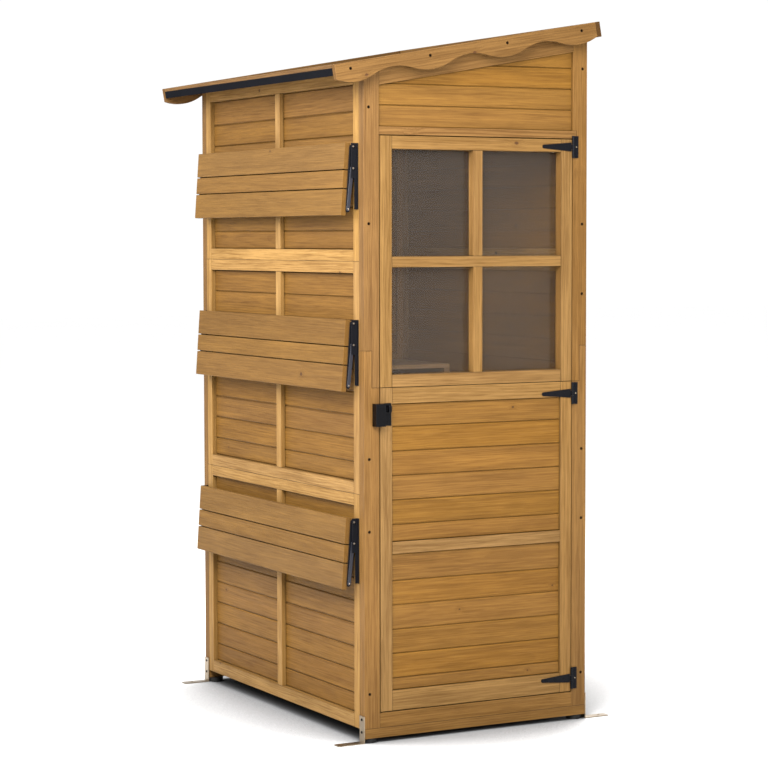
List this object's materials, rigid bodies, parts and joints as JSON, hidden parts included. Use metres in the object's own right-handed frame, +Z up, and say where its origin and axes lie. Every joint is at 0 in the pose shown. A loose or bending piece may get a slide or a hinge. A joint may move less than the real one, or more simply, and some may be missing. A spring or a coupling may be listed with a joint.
{
  "type": "garden storage cabinet",
  "caption": "Tall timber garden cabinet with a part-glazed hinged door, a sloping felted roof with scalloped bargeboards, and folding slatted shelves on one side.",
  "frame": {"origin": "on the ground, midway between the four corner posts and so at the centre of the ground anchors' hole pattern", "axes": "+Z up, +X to the right along the door side, +Y to the back; the door faces -Y and the folding shelves hang on the -X side"},
  "size_m": [0.8388, 1.068, 1.8316],
  "materials": {
    "fir": "honey-coloured stained fir",
    "black_steel": "black powder coat, satin",
    "zinc": "zinc plated",
    "screw": "dark wood screw, sunk below the surface",
    "felt": "black bitumen roof sheet, slightly shiny",
    "pane": "clear acrylic sheet, lightly tinted",
    "foot": "black moulded foot"
  },
  "bodies": {
    "carcass": {"back_boards": "fir", "back_left_post": "fir", "back_rails": "fir", "back_right_post": "fir", "back_sill": "fir", "back_top_rail": "fir", "door_stop": "fir", "feet": "foot", "floor_boards": "fir", "floor_joists": "fir", "frame_screws": "screw", "front_bottom_rail": "fir", "front_gable_boards": "fir", "front_gable_rail": "fir", "front_header": "fir", "front_left_post_lower": "fir", "front_left_post_upper": "fir", "front_right_post_lower": "fir", "front_right_post_upper": "fir", "front_sill": "fir", "ground_anchors": "zinc", "hinge_pins": "black_steel", "hinge_plates": "black_steel", "inner_shelf_cleats": "fir", "inner_shelf_slats": "fir", "latch_keeper": "black_steel", "left_wall_boards": "fir", "left_wall_lower_frame": "fir", "left_wall_middle_frame": "fir", "left_wall_upper_frame": "fir", "right_wall_boards": "fir", "right_wall_lower_frame": "fir", "right_wall_middle_frame": "fir", "right_wall_upper_frame": "fir", "roof_bargeboard_back": "fir", "roof_bargeboard_front": "fir", "roof_deck_boards": "fir", "roof_eave_battens": "fir", "roof_fascia": "fir", "roof_felt": "felt", "roof_rafter": "fir", "shelf_wall_brackets": "black_steel"},
    "door": {"door_upper_frame": "fir", "door_muntins": "fir", "door_pane": "pane", "door_lower_frame": "fir", "door_lower_boards": "fir", "door_joining_plates": "zinc", "hinge_straps": "black_steel", "latch_case": "black_steel"},
    "latch_bolt": {"latch_bolt": "black_steel"},
    "lower_shelf": {"lower_shelf_slats": "fir", "lower_shelf_arms": "black_steel"},
    "lower_struts": {"lower_shelf_struts": "black_steel"},
    "middle_shelf": {"middle_shelf_slats": "fir", "middle_shelf_arms": "black_steel"},
    "middle_struts": {"middle_shelf_struts": "black_steel"},
    "upper_shelf": {"upper_shelf_slats": "fir", "upper_shelf_arms": "black_steel"},
    "upper_struts": {"upper_shelf_struts": "black_steel"}
  },
  "joints": [
    {"name": "door_swing", "type": "hinge", "parent": "carcass", "child": "door", "pos_m": [0.28575, -0.4935, 0.809], "axis": [0, 0, 1], "range_deg": [0, 165]},
    {"name": "latch_slide", "type": "slide", "parent": "door", "child": "latch_bolt", "axis": [-1, 0, 0], "range_m": [0, 0.0115]},
    {"name": "lower_shelf_fold", "type": "hinge", "parent": "carcass", "child": "lower_shelf", "pos_m": [-0.343, 0, 0.5595], "axis": [0, 1, 0], "range_deg": [0, 86]},
    {"name": "lower_strut_swing", "type": "hinge", "parent": "carcass", "child": "lower_struts", "pos_m": [-0.343, 0, 0.5055], "axis": [0, 1, 0], "range_deg": [0, 116]},
    {"name": "middle_shelf_fold", "type": "hinge", "parent": "carcass", "child": "middle_shelf", "pos_m": [-0.343, 0, 1.059], "axis": [0, 1, 0], "range_deg": [0, 86]},
    {"name": "middle_strut_swing", "type": "hinge", "parent": "carcass", "child": "middle_struts", "pos_m": [-0.343, 0, 1.005], "axis": [0, 1, 0], "range_deg": [0, 116]},
    {"name": "upper_shelf_fold", "type": "hinge", "parent": "carcass", "child": "upper_shelf", "pos_m": [-0.343, 0, 1.5], "axis": [0, 1, 0], "range_deg": [0, 86]},
    {"name": "upper_strut_swing", "type": "hinge", "parent": "carcass", "child": "upper_struts", "pos_m": [-0.343, 0, 1.446], "axis": [0, 1, 0], "range_deg": [0, 116]}
  ],
  "couplings": [
    {"joint": "lower_strut_swing", "follows": "lower_shelf_fold", "ratio": 1.3465},
    {"joint": "middle_strut_swing", "follows": "middle_shelf_fold", "ratio": 1.3465},
    {"joint": "upper_strut_swing", "follows": "upper_shelf_fold", "ratio": 1.3465}
  ]
}
